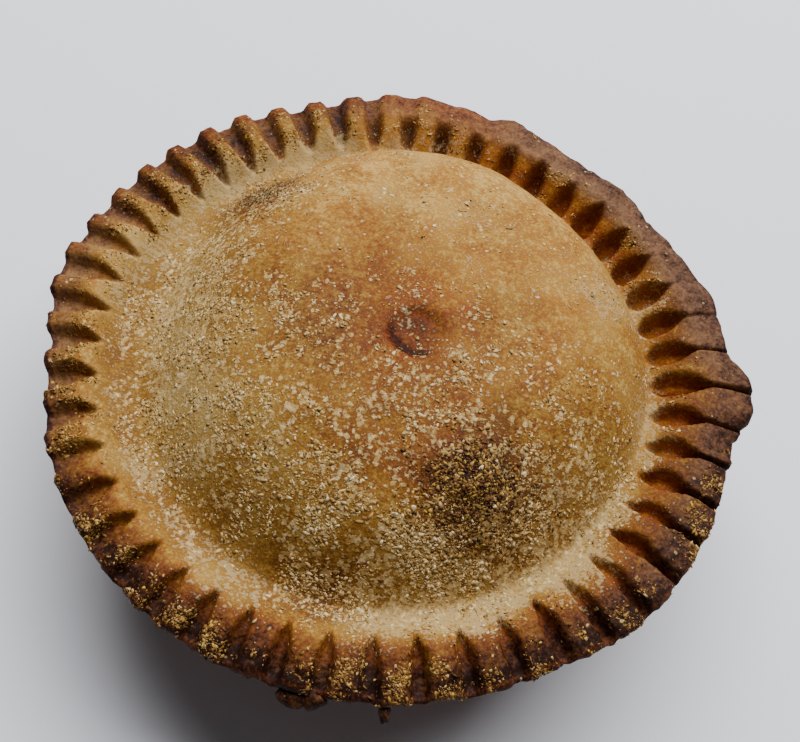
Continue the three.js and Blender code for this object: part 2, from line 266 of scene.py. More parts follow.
# %% The puffed lid, its bulges and its vent
def random_bulges():
    bulges = []
    for seed in range(0, 7 * RANDOM_BULGES, 7):
        angle = 2 * math.pi * chance(seed + 1)
        reach = BULGE_REACH * math.sqrt(chance(seed + 2))
        radius = BULGE_SMALLEST + (BULGE_LARGEST - BULGE_SMALLEST) * chance(seed + 3)
        height = BULGE_HEIGHT * (2 * chance(seed + 4) - 1)
        bulges.append((reach * math.cos(angle), reach * math.sin(angle), radius, height))
    return bulges


LID_BULGES = BULGES + random_bulges()
print("bulges on the lid:", len(LID_BULGES))


def lid_height(radius, angle):
    lean, gentle = hump(angle, LEAN_AT, LEAN_HALF), hump(angle, GENTLE_AT, GENTLE_HALF)
    foot = LID_FOOT_RADIUS + arcs(FOOT_SWELLS, angle)
    fall = np.minimum(radius / foot, 1) ** (SHOULDER_SOFT + SHOULDER_STEEP * lean)
    roundness = SHOULDER_ROUNDNESS - SHOULDER_SHARPENING * lean + GENTLE_SOFTENING * gentle
    return LID_RISE * (1 - fall) ** roundness


def vent_crack(x, y):
    away = np.hypot(x - VENT_X, y - VENT_Y)
    angle = np.degrees(np.arctan2(y - VENT_Y, x - VENT_X))
    return np.exp(-((away - CRACK_RADIUS) / CRACK_WIDTH) ** 2) * plateau(angle, CRACK_AT, CRACK_HALF)


def in_vent(x, y):
    """1 in the vent and its crack, where no flour lies."""
    return 1 - smoothstep(np.hypot(x - VENT_X, y - VENT_Y), BARE_RADIUS, FLOURY_RADIUS)


def vent_height(x, y):
    away = np.hypot(x - VENT_X, y - VENT_Y)
    dish = 1 - smoothstep(away, VENT_FLAT, VENT_RADIUS)
    lip = np.exp(-((away - LIP_RADIUS) / LIP_WIDTH) ** 2)
    return LIP_HEIGHT * lip - VENT_DEPTH * dish - CRACK_DEPTH * vent_crack(x, y)


def top_height(radius, angle, phase):
    x, y = radius * np.cos(np.radians(angle)), radius * np.sin(np.radians(angle))
    bank = smoothstep(radius, BANK_INNER, BANK_OUTER)
    outer_fall = (np.maximum(0, radius - FALL_RADIUS) / FALL_REACH) ** 2
    wave = WAVE_HEIGHT * np.sin(np.radians(WAVE_TURNS * angle + WAVE_PHASE)) * radius / RIM_RADIUS
    height = RIM_HEIGHT + wave - TROUGH_DEPTH * (1 - bank) - outer_fall
    height = height + lid_height(radius, angle) - crimp_fall(radius, angle, phase)
    inside = 1 - smoothstep(radius, BULGE_LIMIT_INNER, BULGE_LIMIT_OUTER)
    return height + inside * patches(LID_BULGES, x, y) + vent_height(x, y)


# %% [markdown]
# ## Finer relief
#
# Close up, the crust is not smooth: the lid is pitted, the toasted lump and the crusty
# patches are craggy, the flange is leathery, and thin splits run on from the dents to
# the torn edge. These moves are small, a few tenths of a millimetre.

# %% Fine relief on the upper face and a ragged edge
CRUMBLY_RIM, CRUMBLY_EDGE = (255, 62), (265, 70)
LEATHERY_RIM, SPLIT_RIM, TORN_EDGE = (340, 26), (342, 32), (356, 8)
SPLIT_WIDTH = 0.03


def fine_relief(radius, angle, phase):
    x, y = radius * np.cos(np.radians(angle)), radius * np.sin(np.radians(angle))
    from_ring = ring_radius(radius, angle)
    relief = 0.09 * ripple(x, y, 2.6, 1) + 0.05 * ripple(x, y, 1.1, 2)
    relief += 0.42 * spot(x, y, *TOASTED_LUMP[:2], 6.0) * ripple(x, y, 1.5, 3)
    relief -= 0.30 * spot(x, y, *TOASTED_LUMP[:2], 6.5) * np.abs(ripple(x, y, 2.9, 5))
    flaky_crags = ripple(x, y, 1.3, 4) - np.abs(ripple(x, y, 2.2, 5))
    relief += 0.38 * spot(x, y, *FLAKY_PATCH[:2], 4.8) * flaky_crags
    dry_cracks = 1 - smoothstep(np.abs(ripple(x, y, 2.4, 6)), 0, 0.18)
    relief -= 0.35 * spot(x, y, *DRY_PATCH[:2], 4.2) * dry_cracks
    relief += 0.09 * smoothstep(radius, 43, 47) * ripple(x, y, 0.9, 7)
    crumbly = plateau(angle, *CRUMBLY_RIM) * smoothstep(radius, 46, 50)
    relief += crumbly * (0.20 * ripple(x, y, 0.95, 8) + 0.16 * ripple(x, y, 2.1, 9))
    leather = flange_share(from_ring, angle)
    leather += 0.6 * plateau(angle, *LEATHERY_RIM) * smoothstep(radius, 47, 49)
    along = np.radians(angle) * RIM_RADIUS
    relief += leather * (0.28 * ripple(along * 0.6, radius, 1.1, 10) + 0.24 * ripple(along, radius, 2.6, 11))
    relief -= leather * 0.10 * np.cos(2 * np.pi * phase) * smoothstep(radius, 47.5, 50)
    split = np.exp(-((phase - np.round(phase)) / SPLIT_WIDTH) ** 2) * plateau(angle, *SPLIT_RIM)
    relief -= 0.8 * split * smoothstep(from_ring, CLOSING_INNER + 2, CLOSING_OUTER)
    return relief


def ragged_edge(angle, phase):
    along = np.radians(angle) * RIM_RADIUS
    level = 0 * along
    rough = 0.16 * ripple(along, level, 2.3, 9) + 0.12 * ripple(along, level, 0.9, 10)
    torn = 0.55 * plateau(angle, *TORN_EDGE) * np.round(1.5 * ripple(along, level, 1.7, 11))
    crumbly = 0.28 * plateau(angle, *CRUMBLY_EDGE) * ripple(along, level, 0.8, 12)
    wavy = 0.22 * along_flange(angle) * ripple(along, level, 4.6, 14)
    return rough + torn + crumbly + wavy


# %% [markdown]
# ## The crust as one spun mesh
#
# A potter's wheel is the natural way to make a round thing: draw half of its outline
# and spin it. Every point of the outline carries its ring number into the copies that
# the spin makes, so afterwards each point can be moved to where the form functions say.
# Columns are crowded into the dents, because that is where the shape bends most.

# %% Outline rings: radius, height, how far they follow the rim's top and its outline
COLUMNS_PER_CRIMP = 15
BASE, SIDE, EDGE, TOP = 0, 1, 2, 3
UNDER_EDGE = RIM_HEIGHT - RIM_THICKNESS - 0.5
EDGE_HEIGHT = RIM_HEIGHT - 0.55 * RIM_THICKNESS
EDGE_TUCK = 0.7
TOP_EDGE_FALL = ((TOP_EDGE_RADIUS - FALL_RADIUS) / FALL_REACH) ** 2
WALL = [(BASE_RADIUS - 1.8, 0.0), (BASE_RADIUS + 0.4, 2.4), (BASE_RADIUS + 4.6, 0.45 * RIM_HEIGHT),
        (NECK_RADIUS, NECK_HEIGHT)]
WALL_STEPS = (4, 8, 8)


def base_and_wall_rings():
    rings = [(0.0, 0.0, 0, 0, BASE)]
    rings += [(radius, 0.0, 0, 0, BASE) for radius in np.linspace(18, WALL[0][0], 3)]
    for (r0, z0), (r1, z1), steps in zip(WALL[:-1], WALL[1:], WALL_STEPS):
        for t in np.linspace(0, 1, steps + 1)[1:]:
            rings.append((r0 + (r1 - r0) * t, z0 + (z1 - z0) * t, 0, 0, SIDE))
    return rings


def edge_rings():
    rings = []
    for t in np.linspace(0, 1, 6)[1:]:
        radius = NECK_RADIUS + (RIM_RADIUS - EDGE_TUCK - NECK_RADIUS) * t
        rings.append((radius, NECK_HEIGHT + (UNDER_EDGE - NECK_HEIGHT) * t, EDGE_SAG * t, t, EDGE))
    for t in np.linspace(0, 1, 5)[1:]:
        radius = RIM_RADIUS - EDGE_TUCK * (1 - math.sin(t * math.pi / 2))
        rings.append((radius, UNDER_EDGE + (EDGE_HEIGHT - UNDER_EDGE) * t, EDGE_SAG, 1, EDGE))
    top_edge = RIM_HEIGHT - TOP_EDGE_FALL
    for t in np.linspace(0, 1, 5)[1:-1]:
        turn = t * math.pi / 2
        radius = TOP_EDGE_RADIUS + (RIM_RADIUS - TOP_EDGE_RADIUS) * math.cos(turn)
        height = EDGE_HEIGHT + (top_edge - EDGE_HEIGHT) * math.sin(turn)
        rings.append((radius, height, EDGE_SAG + (1 - EDGE_SAG) * t, 1, EDGE))
    return rings


def top_rings():
    radii = list(np.linspace(TOP_EDGE_RADIUS, 38, 36)) + list(np.linspace(38, 0, 48)[1:])
    return [(radius, RIM_HEIGHT, 0, 0, TOP) for radius in radii]


RINGS = np.array(base_and_wall_rings() + edge_rings() + top_rings())
print("outline of", len(RINGS), "points")


# %% Spin the outline into a closed mesh
def make_mesh(name, shape):
    mesh = bpy.data.meshes.new(name)
    shape.to_mesh(mesh)
    shape.free()
    return mesh


def add_object(name, data):
    piece = bpy.data.objects.new(name, data)
    bpy.context.collection.objects.link(piece)
    return piece


def spin_outline(rings):
    shape = bmesh.new()
    ring_of = shape.verts.layers.int.new("ring")
    points = []
    for number, (radius, height, *_) in enumerate(rings):
        point = shape.verts.new((radius, 0, height))
        point[ring_of] = number
        points.append(point)
    for low, high in zip(points[:-1], points[1:]):
        shape.edges.new((low, high))
    bmesh.ops.spin(shape, geom=shape.verts[:] + shape.edges[:], axis=(0, 0, 1), cent=(0, 0, 0),
                   angle=2 * math.pi, steps=CRIMPS * COLUMNS_PER_CRIMP, use_merge=True)
    bmesh.ops.remove_doubles(shape, verts=shape.verts[:], dist=1e-5)
    bmesh.ops.recalc_face_normals(shape, faces=shape.faces[:])
    return make_mesh("crust", shape)


def read_points(mesh):
    flat = np.empty(len(mesh.vertices) * 3)
    mesh.vertices.foreach_get("co", flat)
    return flat.reshape(-1, 3)


crust_mesh = spin_outline(RINGS)
print("crust:", len(crust_mesh.vertices), "points,", len(crust_mesh.polygons), "faces")


# %% Move every point to the pie's surface
CROWDING = 0.5


def place_points(mesh):
    spun = read_points(mesh)
    numbers = np.empty(len(mesh.vertices), int)
    mesh.attributes["ring"].data.foreach_get("value", numbers)
    radius, height, follow, stretch, zone = RINGS[numbers].T
    even_phase = (np.degrees(np.arctan2(spun[:, 1], spun[:, 0])) % 360) * CRIMPS / 360
    phase = even_phase - CROWDING * np.sin(2 * np.pi * even_phase) / (2 * np.pi)
    angle = crimp_angle(phase * 360 / CRIMPS)
    out = edge_radius(angle, phase) + ragged_edge(angle, phase) - RIM_RADIUS
    on_top = zone == TOP
    share = np.where(on_top, smoothstep(radius, CRIMP_INNER, RIM_RADIUS), stretch)
    top = top_height(radius, angle, phase) + fine_relief(radius, angle, phase)
    at_edge = TOP_EDGE_RADIUS + 0 * angle
    edge_top = top_height(at_edge, angle, phase) + fine_relief(at_edge, angle, phase)
    flute = np.where(zone == SIDE, FLUTE_DEPTH * np.cos(2 * np.pi * phase), 0) * smoothstep(height, 0, 2.4)
    side_bump = np.where(zone == SIDE, 0.12 * ripple(angle * 0.8, height, 2.5, 13), 0)
    new_radius = radius + share * out + flute + side_bump
    new_height = np.where(on_top, top, height + follow * (edge_top - RIM_HEIGHT + TOP_EDGE_FALL))
    turn = np.radians(angle)
    points = np.stack([new_radius * np.cos(turn), new_radius * np.sin(turn), new_height], 1)
    mesh.vertices.foreach_set("co", (points * MM).ravel())
    mesh.update()
    return {"x": points[:, 0], "y": points[:, 1], "z": points[:, 2], "radius": radius,
            "angle": angle % 360, "phase": phase, "zone": zone.astype(int)}


at = place_points(crust_mesh)
crust = add_object("crust", crust_mesh)
crust_mesh.polygons.foreach_set("use_smooth", [True] * len(crust_mesh.polygons))
print("crust height, mm:", round(float(at["z"].max()), 1))


# %% [markdown]
# ## Where the crust is brown and where it is floury
#
# Baking browns what stands proud and thin: the rim most, least of all the damp trough.
# Each point gets a few numbers from 0 to 1 that the finish reads: bake, from cream to
# near black, amber, where butter has turned the crust orange and red-brown, ash, where
# it is grey and mauve, flour, grit, where the dusting has baked on, and bare, in the
# vent, where none lies. In a few places the bake also holds painted shade, at the lid's
# near foot, in the trough between the pockets and along the broad dents on the upper
# left, and painted light, in the pockets and on the left of the rim. They are sums of
# places, by the form's distances and turns.

# %% How far the lid and the trough are baked, and where shade is painted on them
LID_BAKE, TROUGH_BAKE = 0.24, 0.35
LID_PATCHES = [(VENT_X - 2, VENT_Y + 1, 9, 0.30), (VENT_X, VENT_Y, 4.6, 0.27), (-12, 1, 11, 0.20),
               (0, -18, 10, 0.20), (*TOASTED_LUMP[:2], 6.4, 0.58), (14, -20, 12, 0.14),
               (FLAKY_PATCH[0] - 1, FLAKY_PATCH[1] + 1, 5.4, 0.76), (22, -22, 12, 0.14),
               (-8, 22, 12, -0.12), (-24, -18, 12, -0.08), (-26, -12, 12, -0.04),
               (*DRY_PATCH[:2], 4.0, -0.08)]
TROUGH_ARCS = [(235, 42, 0.06, 2), (312, 32, -0.06, 2), (80, 26, -0.10, 2), (150, 20, -0.06, 2),
               (35, 12, 0.06, 2), (176, 14, 0.03, 2)]
# Painted shade: the near trough and the lid's near foot are darker, where the lid's shade falls.
NEAR_TROUGH_PAINTED_SHADE = (-3.5, -39, 4)
NEAR_FOOT_PAINTED_SHADE = [(248, 40, 0.08, 2, 35.5, 40, 1.5)]


def lid_bake(x, y):
    bake = LID_BAKE + 0.05 * ripple(x, y, 9, 20) + 0.08 * ripple(x, y, 4, 21)
    bake += patches(LID_PATCHES, x, y) + 0.50 * vent_crack(x, y)
    return bake - 0.06 * smoothstep(y, 16, 30)


def trough_share(radius, angle):
    return band(radius, 38.2 + 1.2 * hump(angle, 255, 50), 43, 1.5)


def trough_bake(x, y, angle):
    return TROUGH_BAKE + 0.04 * ripple(x, y, 5, 22) + arcs(TROUGH_ARCS, angle)


# %% How far the rim is baked, with some painted light and shade: the ridges by their distance, the dents by the ring's
RIDGE_DISTANCES = [41.5, 44, 46, 48, 50.5]
RIDGE_BAKES = [0.36, 0.47, 0.58, 0.72, 0.82]
# The arc at 188 degrees makes the ridges on the left paler: painted light on its shaded grooves.
RIDGE_ARCS_AND_PAINTED_LIGHT = [(72, 22, -0.08, 4), (188, 28, -0.36, 4)]
# A darker trough between the pockets, under the lid's overhang: burnt crust and painted shade.
BURNT_AND_SHADED_TROUGH = [(52, 24, 0.22, 4, 39.5, 43, 0.8)]
TORN_SIDE, UPPER_LEFT, NEAR_SIDE = (350, 26), (130, 34), (275, 56)
POCKET_SIDE, BROAD_SIDE = (15, 58), (150, 52)
FLOOR_BAKE, FLOOR_DARKER_OUT = 0.64, 0.34
# The arc at 188 degrees makes the dent floors on the left paler: painted light on their shade.
FLOOR_ARCS_AND_PAINTED_LIGHT = [(188, 28, -0.34, 4), (222, 18, -0.10, 2)]


def dent_share(radius, angle, phase):
    """1 in a dent, 0 on the ridges and on the flange."""
    from_ring = ring_radius(radius, angle)
    return dent_section(phase, dent_width(from_ring, angle)) * (1 - flange_share(from_ring, angle))


def ridge_bake_and_painted_light(radius, angle):
    out, tips = smoothstep(ring_radius(radius, angle), 43.5, 48.5), smoothstep(radius, 48, 51)
    bake = np.interp(radius, RIDGE_DISTANCES, RIDGE_BAKES) + arcs(RIDGE_ARCS_AND_PAINTED_LIGHT, angle)
    bake += 0.12 * plateau(angle, *TORN_SIDE) * (1 - out)
    bake -= 0.24 * plateau(angle, *UPPER_LEFT) * (1 - 0.5 * tips)
    bake += plateau(angle, *NEAR_SIDE) * (0.05 * smoothstep(radius, 44.5, 46) + 0.16 * tips)
    # Burnt crust and painted shade in the trough between the pockets.
    return bake + regions(BURNT_AND_SHADED_TROUGH, radius, angle)


def floor_bake_and_painted_light(radius, angle, phase):
    from_ring, from_middle = ring_radius(radius, angle), phase - np.round(phase)
    pockets, broad = plateau(angle, *POCKET_SIDE), plateau(angle, *BROAD_SIDE)
    # Painted light: the pockets on the right are paler, to lift the shade deep inside them.
    bake = FLOOR_BAKE - 0.12 * pockets + arcs(FLOOR_ARCS_AND_PAINTED_LIGHT, angle)
    bake += (FLOOR_DARKER_OUT - 0.10 * pockets - 0.30 * broad) * smoothstep(from_ring, 43.5, 48.5)
    # Painted light: paler still on each pocket's far wall, which the light does not reach.
    bake -= 0.12 * pockets * smoothstep(from_middle, -0.12, 0.12)
    # Painted shade: a dark line along the low side of each broad dent on the upper left, on the flank turned
    # from the light.
    painted_shade_line = np.exp(-((from_middle + 0.08) / 0.12) ** 2) * band(from_ring, 44, 50, 1.5)
    return bake + 0.18 * broad * painted_shade_line


def rim_bake(x, y, radius, angle, phase):
    dents = dent_share(radius, angle, phase)
    bake = ridge_bake_and_painted_light(radius, angle) * (1 - dents) + floor_bake_and_painted_light(radius, angle, phase) * dents
    bake -= 0.07 * flange_share(ring_radius(radius, angle), angle)
    return bake + 0.05 * ripple(x, y, 2.2, 23) + 0.04 * ripple(x, y, 5, 24)


# %% Lid, trough and rim together
def rim_share(radius, angle, phase):
    """How much of the rim's own bake shows: it starts at the inner ends of the dents."""
    start = 42.4 + 0.8 * hump(angle, 130, 50) - 1.2 * dent_section(phase, 1)
    return smoothstep(ring_radius(radius, angle), start - 0.9, start + 1.6)


def upper_bake(x, y, radius, angle, phase):
    trough = trough_share(radius, angle)
    bake = lid_bake(x, y) * (1 - trough) + trough * trough_bake(x, y, angle)
    # Painted shade at the lid's near foot and in the trough below it.
    bake += regions(NEAR_FOOT_PAINTED_SHADE, radius, angle) + 0.32 * spot(x, y, *NEAR_TROUGH_PAINTED_SHADE)
    rim = rim_share(radius, angle, phase)
    return bake * (1 - rim) + rim * rim_bake(x, y, radius, angle, phase)


def crust_bake(x, y, z, radius, angle, phase, zone):
    side = 0.52 + 0.10 * ripple(angle * 0.8, z, 6, 25) + 0.14 * smoothstep(z, 16, 24)
    side += 0.05 * np.cos(2 * np.pi * phase)
    under = 0.70 + 0.20 * smoothstep(np.hypot(x, y), 47, 51) - 0.2 * plateau(angle, 125, 45)
    base = 0.50 + 0.08 * ripple(x, y, 7, 26)
    return np.choose(zone, [base, side, under, upper_bake(x, y, radius, angle, phase)])


# %% Where the crust is amber
SIDE_AMBER = 0.35
NO_LIMIT = 99
DENT_AMBER = [(18, 60, 0.85, 4), (286, 46, 0.05, 4)]
DENT_AMBER_INSIDE = [(286, 46, 0.30, 4), (170, 62, 0.4, 4)]
RIDGE_AMBER, RIDGE_AMBER_INSIDE = [(86, 18, 0.35, 4)], [(52, 26, 0.4, 4)]
TIP_AMBER = [(132, 48, 0.35, 4, 49.25, NO_LIMIT, 1.25)]
AMBER_PATCHES = [(VENT_X - 2, VENT_Y, 9, 0.40), (6, -20, 14, 0.20)]
PALE_SHOULDER = [(195, 56, -0.30, 2, 34, 44, 2)]


def lid_amber(x, y, radius, angle):
    amber = 0.02 + 0.26 * smoothstep(y + 0.3 * x, -8, 18) + 0.10 * ripple(x, y, 6, 36)
    amber += patches(AMBER_PATCHES, x, y) + regions(PALE_SHOULDER, radius, angle)
    return amber + 0.5 * vent_crack(x, y)


def rim_amber(radius, angle, phase):
    inner = 1 - smoothstep(ring_radius(radius, angle), 44.5, 48.5)
    dents = arcs(DENT_AMBER, angle) + inner * arcs(DENT_AMBER_INSIDE, angle)
    ridges = 0.05 + arcs(RIDGE_AMBER, angle) + regions(TIP_AMBER, radius, angle)
    ridges += inner * (0.22 + arcs(RIDGE_AMBER_INSIDE, angle))
    section = dent_share(radius, angle, phase)
    return dents * section + ridges * (1 - section)


def upper_amber(x, y, radius, angle, phase):
    rim = rim_share(radius, angle, phase)
    amber = lid_amber(x, y, radius, angle) * (1 - rim) * (radius < 43)
    return amber + rim * rim_amber(radius, angle, phase)


# %% Where the crust is ashen, and where flour lies on it
ASH_REGIONS = [(340, 28, 0.50, 4, 47.25, NO_LIMIT, 1.25), (180, 26, 0.40, 4, 47.5, NO_LIMIT, 1.5)]
FLOUR_REGIONS = [(182, 30, 0.35, 2, 29, 37, 2), (182, 30, 0.05, 2, 37, 43, 2),
                 (297, 30, 0.45, 2, 38.5, 44.5, 1.5), (132, 26, 0.45, 2, 40, 45, 1.5)]
# The first patch takes flour from the near trough, so its painted shade stays dark.
FLOUR_PATCHES = [(*NEAR_TROUGH_PAINTED_SHADE, -0.2), (*DRY_PATCH[:2], 4.5, 0.36), (-24, -20, 12, 0.18)]
OFF_TOP_FLOUR = 0.05


def rim_ash(radius, angle, phase):
    dents = rim_share(radius, angle, phase) * dent_section(phase, 1)
    ash = 0.9 * flange_share(ring_radius(radius, angle), angle) * (1 - 0.6 * plateau(angle, 88, 14))
    return ash + 0.25 * dents * plateau(angle, 155, 52) + regions(ASH_REGIONS, radius, angle)


def upper_flour(x, y, radius, angle):
    flour = 0.18 + 0.25 * ripple(x, y, 5, 27) + 0.20 * trough_share(radius, angle)
    flour += regions(FLOUR_REGIONS, radius, angle) + patches(FLOUR_PATCHES, x, y)
    return flour * (1 - 0.9 * smoothstep(radius, 45, 48))


# %% How thick the semolina lies
DUSTY_SHOULDER, DUSTY_TROUGH = [(172, 44, 1.4, 2, 25, 37, 3)], [(296, 34, 0.8, 2, 30, 44, 2)]
CLEAR_PATCHES = [(*TOASTED_LUMP[:2], 5, 0.8), (-14, -35, 6, 0.6), (-28, -18, 7, 0.3)]
GRITTY_PATCHES = [(*FLAKY_PATCH[:2], 6, 0.25), (*TOASTED_LUMP[:2], 6, 0.35)]


def dusting(x, y, radius, angle):
    lid, near = 1 - smoothstep(radius, 40, 43), smoothstep(-y - 0.25 * x, -14, 14)
    on_lid = 0.12 + 0.85 * near + regions(DUSTY_SHOULDER, radius, angle)
    clear = (1 - patches(CLEAR_PATCHES, x, y)) * (1 - 0.94 * in_vent(x, y))
    return clear * (lid * on_lid + regions(DUSTY_TROUGH, radius, angle))


# %% Write the numbers on the mesh
def crust_masks(x, y, z, radius, angle, phase, zone):
    on_top = zone == TOP
    grit = 0.52 * dusting(x, y, radius, angle) + patches(GRITTY_PATCHES, x, y)
    return {"bake": crust_bake(x, y, z, radius, angle, phase, zone),
            "amber": np.where(on_top, upper_amber(x, y, radius, angle, phase), SIDE_AMBER),
            "ash": rim_ash(radius, angle, phase),
            "flour": np.where(on_top, upper_flour(x, y, radius, angle), OFF_TOP_FLOUR),
            "grit": np.where(on_top, grit, 0), "bare": in_vent(x, y)}


def write_mask(mesh, name, values):
    layer = mesh.attributes.new(name, "FLOAT", "POINT")
    layer.data.foreach_set("value", np.clip(values, 0, 1).astype(np.float32))


masks = crust_masks(**at)
for mask, values in masks.items():
    write_mask(crust_mesh, mask, values)
    print(mask, "from", round(float(values.min()), 2), "to", round(float(values.max()), 2))
crust_mesh.attributes.remove(crust_mesh.attributes["ring"])

# %% [markdown]
# ## Writing finishes as sums
#
# A finish is a graph of nodes. It reads best as arithmetic, so a small class wraps a
# socket: adding or multiplying two of them adds the Math node that does it.

# %% A socket that can be added and multiplied
class Shade:
    def __init__(self, tree, socket):
        self.tree = tree
        self.socket = socket

    def node(self, kind, settings, inputs, output=0):
        return make_node(self.tree, kind, settings, inputs, output)

    def math(self, operation, first, second):
        return self.node("ShaderNodeMath", {"operation": operation}, {0: first, 1: second})

    def __add__(self, other):
        return self.math("ADD", self, other)

    def __radd__(self, other):
        return self.math("ADD", other, self)

    def __sub__(self, other):
        return self.math("SUBTRACT", self, other)

    def __rsub__(self, other):
        return self.math("SUBTRACT", other, self)

    def __mul__(self, other):
        return self.math("MULTIPLY", self, other)

    def __rmul__(self, other):
        return self.math("MULTIPLY", other, self)

    def above(self, level, softness):
        """0 well below the level and 1 well above it."""
        settings = {"clamp": True}
        inputs = {"Value": self, "From Min": level - softness, "From Max": level + softness}
        return self.node("ShaderNodeMapRange", settings, inputs)


def make_node(tree, kind, settings, inputs, output=0):
    node = tree.nodes.new(kind)
    for name, value in settings.items():
        if name == "stops":
            fill_ramp(node.color_ramp, value)
        else:
            setattr(node, name, value)
    for name, value in inputs.items():
        if isinstance(value, Shade):
            tree.links.new(value.socket, node.inputs[name])
        else:
            node.inputs[name].default_value = value
    return Shade(tree, node.outputs[output])


def fill_ramp(ramp, stops):
    while len(ramp.elements) < len(stops):
        ramp.elements.new(0.5)
    for element, (position, colour) in zip(ramp.elements, stops):
        element.position = position
        element.color = (*colour, 1)


# %% Starting a finish
def colour(red, green, blue):
    """A colour as seen on a screen, 0 to 255, turned into amounts of light."""
    return tuple((level / 255) ** 2.2 for level in (red, green, blue))


class Finish:
    def __init__(self, name):
        self.material = bpy.data.materials.new(name)
        self.material.use_nodes = True
        self.tree = self.material.node_tree
        self.surface = self.tree.nodes["Principled BSDF"]
        self.place = self.node("ShaderNodeTexCoord", {}, {}, "Object")

    def node(self, kind, settings, inputs, output=0):
        return make_node(self.tree, kind, settings, inputs, output)

    def mask(self, name):
        return self.node("ShaderNodeAttribute", {"attribute_name": name}, {}, "Fac")

    def noise(self, size_mm, detail=2.0, roughness=0.5):
        inputs = {"Vector": self.place, "Scale": 1 / (size_mm * MM), "Detail": detail,
                  "Roughness": roughness}
        return self.node("ShaderNodeTexNoise", {}, inputs, "Fac")

    def cells(self, size_mm, output):
        """Rough cells: Color is a random number for each, and Distance is 0 at its middle."""
        wobble = self.node("ShaderNodeTexNoise", {}, {"Vector": self.place, "Scale": 1.6 / (size_mm * MM)},
                           "Color")
        shift = (0.7 * size_mm * MM,) * 3
        bent = self.node("ShaderNodeVectorMath", {"operation": "MULTIPLY_ADD"},
                         {0: wobble, 1: shift, 2: self.place})
        return self.node("ShaderNodeTexVoronoi", {}, {"Vector": bent, "Scale": 1 / (size_mm * MM)}, output)

    def mix(self, amount, first, second):
        settings = {"data_type": "RGBA"}
        return self.node("ShaderNodeMix", settings, {0: amount, 6: first, 7: second}, 2)

    def ramp(self, amount, stops):
        return self.node("ShaderNodeValToRGB", {"stops": stops}, {0: amount}, 0)

    def set(self, **inputs):
        for name, value in inputs.items():
            socket = self.surface.inputs[name.replace("_", " ")]
            if isinstance(value, Shade):
                self.tree.links.new(value.socket, socket)
            else:
                socket.default_value = value

    def bump(self, height, depth_mm):
        inputs = {"Strength": 1.0, "Distance": depth_mm * MM, "Height": height}
        self.set(Normal=self.node("ShaderNodeBump", {}, inputs))


# %% [markdown]
# ## The baked crust
#
# Pastry browns along one path of colours, from cream through gold and brown to nearly
# black. So one number, the bake, and one ramp give all of them, and noise of four sizes
# makes it mottled. Two more ramps hold the same steps in amber and in ash. Flour lies on
# top as a pale, broken film, and the grit is rough cells that turn pale one by one.

# %% Sizes of the mottling, and the colours
BROAD_MM, MOTTLE_MM, SPECKLE_MM, GRAIN_MM, FLAKE_MM = 9.0, 4.2, 1.0, 0.4, 0.62
FILM_LEVEL, FILM_SOFTNESS, FILM_THICKNESS = 0.56, 0.14, 0.6
FLAKE_LEVEL, FLAKE_SOFTNESS, FLAKE_THICKNESS = 0.94, 0.08, 0.75
RELIEF_MM = 0.11
CRUST_STOPS = [(0.0, colour(162, 132, 76)), (0.12, colour(143, 112, 57)), (0.25, colour(130, 96, 44)),
               (0.38, colour(117, 81, 34)), (0.5, colour(102, 67, 29)), (0.62, colour(86, 54, 26)),
               (0.75, colour(71, 44, 26)), (0.88, colour(52, 30, 20)), (1.0, colour(32, 19, 14))]
AMBER_STOPS = [(0.0, colour(184, 126, 50)), (0.25, colour(158, 99, 37)), (0.45, colour(136, 74, 27)),
               (0.65, colour(120, 55, 26)), (0.85, colour(76, 36, 18)), (1.0, colour(46, 22, 13))]
ASH_STOPS = [(0.0, colour(130, 100, 74)), (0.5, colour(106, 76, 54)), (0.7, colour(88, 61, 45)),
             (0.85, colour(68, 46, 36)), (1.0, colour(42, 28, 23))]
FLOUR_FILM = colour(170, 148, 103)
FLAKE_STOPS = [(0.0, colour(126, 94, 50)), (0.35, colour(152, 120, 70)), (0.7, colour(178, 150, 98)),
               (1.0, colour(206, 184, 142))]


